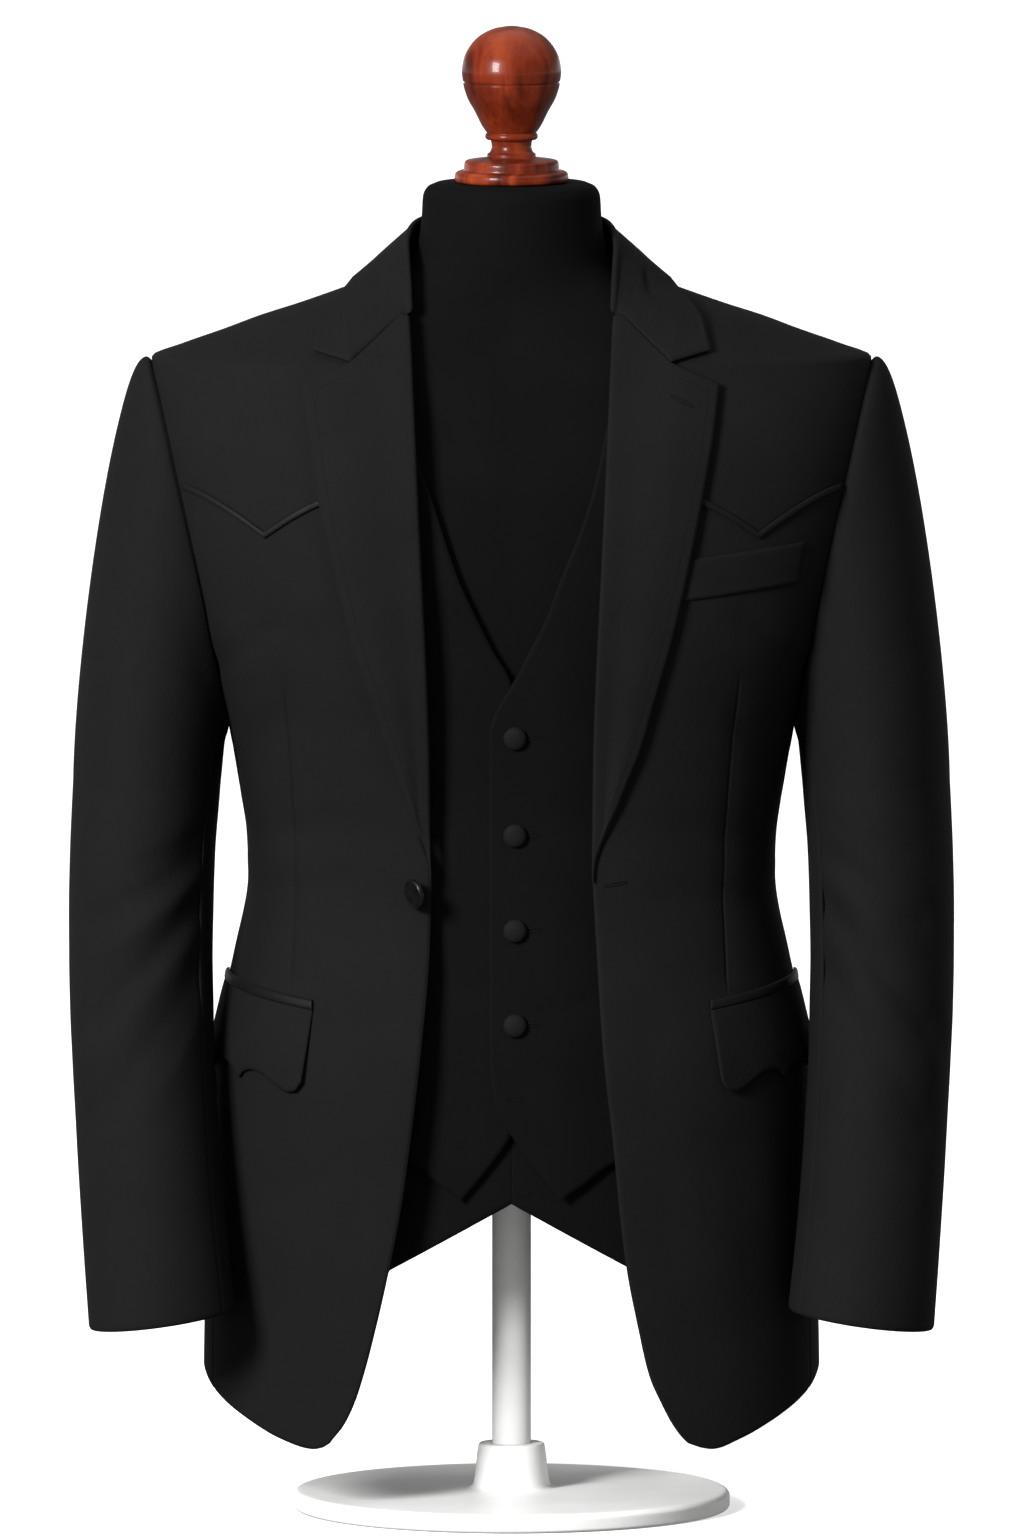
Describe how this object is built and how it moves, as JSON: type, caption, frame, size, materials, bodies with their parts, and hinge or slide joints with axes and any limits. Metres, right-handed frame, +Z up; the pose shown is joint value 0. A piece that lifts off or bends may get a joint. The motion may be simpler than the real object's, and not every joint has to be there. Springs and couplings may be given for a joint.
{
  "type": "western suit on a dress form",
  "caption": "Three-piece western suit, a jacket with pointed yokes and scalloped flaps, vest and trouser tops, on a dress form with a turned finial and a round stand.",
  "frame": {"origin": "on the floor, under the middle of the stand's round base", "axes": "+Z up along the stand's pole, the front faces -Y, the wearer's left is +X"},
  "size_m": [0.5664, 0.2841, 0.9529],
  "materials": {
    "suiting": "smooth black wool suiting",
    "covered_button": "cloth-covered button",
    "horn": "black horn, satin",
    "form_cloth": "black jersey cover",
    "turned_wood": "glossy reddish mahogany",
    "stand_paint": "pale satin paint"
  },
  "bodies": {
    "root": {"jacket_front_r": "suiting", "jacket_yoke_r": "suiting", "jacket_back_r": "suiting", "lapel_r": "suiting", "yoke_piping_r": "suiting", "pocket_jet_r": "suiting", "pocket_flap_r": "suiting", "sleeve_upper_r": "suiting", "sleeve_under_r": "suiting", "vest_front_r": "suiting", "trouser_front_r": "suiting", "trouser_back_r": "suiting", "jacket_front_l": "suiting", "jacket_yoke_l": "suiting", "jacket_back_l": "suiting", "lapel_l": "suiting", "yoke_piping_l": "suiting", "pocket_jet_l": "suiting", "pocket_flap_l": "suiting", "sleeve_upper_l": "suiting", "sleeve_under_l": "suiting", "vest_front_l": "suiting", "trouser_front_l": "suiting", "trouser_back_l": "suiting", "collar": "suiting", "breast_welt": "suiting", "vest_back": "suiting", "vest_button_1": "covered_button", "vest_button_2": "covered_button", "vest_button_3": "covered_button", "vest_button_4": "covered_button", "jacket_button": "horn", "form_torso": "form_cloth", "neck_cap": "turned_wood", "finial": "turned_wood", "stand_base": "stand_paint", "stand_pole": "stand_paint"}
  },
  "joints": []
}
